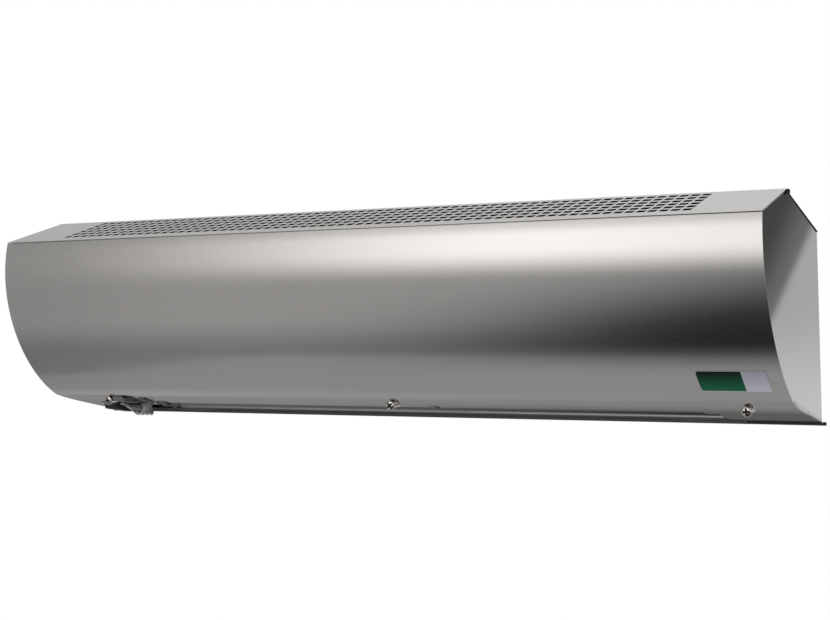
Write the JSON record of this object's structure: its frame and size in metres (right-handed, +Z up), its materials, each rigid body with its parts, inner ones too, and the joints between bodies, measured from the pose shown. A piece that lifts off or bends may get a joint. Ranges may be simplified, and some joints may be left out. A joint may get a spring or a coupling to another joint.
{
  "type": "air curtain",
  "caption": "Long wall-mounted air curtain with a bulging brushed-steel front, a perforated sloping intake panel and a slotted underside outlet.",
  "frame": {"origin": "centre of the back plate's rear face, on the wall", "axes": "+X along the casing to the right seen from the front, +Y into the wall, +Z up"},
  "size_m": [0.8046, 0.1989, 0.2046],
  "materials": {
    "brushed_steel": "brushed along the length",
    "black_paint": "satin black powder coat",
    "zinc_plate": "zinc plated",
    "nickel_plate": "nickel plated",
    "rubber": "matt",
    "dark_steel": "oxidised steel",
    "ivory_plastic": "moulded",
    "aluminium": "mill finish",
    "mica": "pressed mica board",
    "black_plastic": "moulded",
    "bronze": "turned",
    "grey_pvc": "extruded PVC sheath",
    "green_film": "printed film",
    "silver_film": "metallised film"
  },
  "bodies": {
    "casing": {"front_cover": "brushed_steel", "intake_panel": "brushed_steel", "end_panel_left": "brushed_steel", "end_panel_right": "brushed_steel", "back_plate": "black_paint", "hook_rail": "black_paint", "lower_rail": "zinc_plate", "cover_screw_left": "nickel_plate", "cover_screw_centre": "nickel_plate", "cover_screw_right": "nickel_plate", "scroll_housing": "zinc_plate", "outlet_tongue": "zinc_plate", "bulkhead_left": "zinc_plate", "bulkhead_right": "zinc_plate", "fan_bearing": "rubber", "motor_plate": "zinc_plate", "motor_housing": "dark_steel", "motor_post_1": "nickel_plate", "motor_post_2": "nickel_plate", "motor_post_3": "nickel_plate", "motor_capacitor": "ivory_plastic", "heating_rod_1": "dark_steel", "heating_rod_2": "dark_steel", "heating_rod_3": "dark_steel", "rod_support_left": "mica", "rod_support_centre": "mica", "rod_support_right": "mica", "thermal_cutout": "black_plastic", "slot_clip_left": "nickel_plate", "slot_clip_centre": "nickel_plate", "terminal_block": "ivory_plastic", "relay_box": "black_plastic", "earth_stud": "bronze", "cable_clamp_block": "black_plastic", "clamp_lug_left": "dark_steel", "clamp_lug_right": "dark_steel", "supply_lead_1": "grey_pvc", "supply_lead_2": "grey_pvc", "supply_lead_3": "grey_pvc", "supply_lead_4": "grey_pvc", "lead_grommet": "rubber", "label_green": "green_film", "label_silver": "silver_film"},
    "fan": {"fan_drum_left": "aluminium", "fan_drum_right": "aluminium", "fan_coupling": "rubber", "fan_shaft_left": "dark_steel", "motor_shaft": "dark_steel"},
    "vane": {"outlet_vane": "aluminium", "vane_pin_left": "black_plastic", "vane_pin_right": "black_plastic"}
  },
  "joints": [
    {"name": "fan_spin", "type": "hinge", "parent": "casing", "child": "fan", "pos_m": [0, -0.098, 0.0237], "axis": [1, 0, 0], "continuous": true},
    {"name": "vane_tilt", "type": "hinge", "parent": "casing", "child": "vane", "pos_m": [0, -0.031, -0.0683], "axis": [1, 0, 0], "range_deg": [-20, 25]}
  ]
}
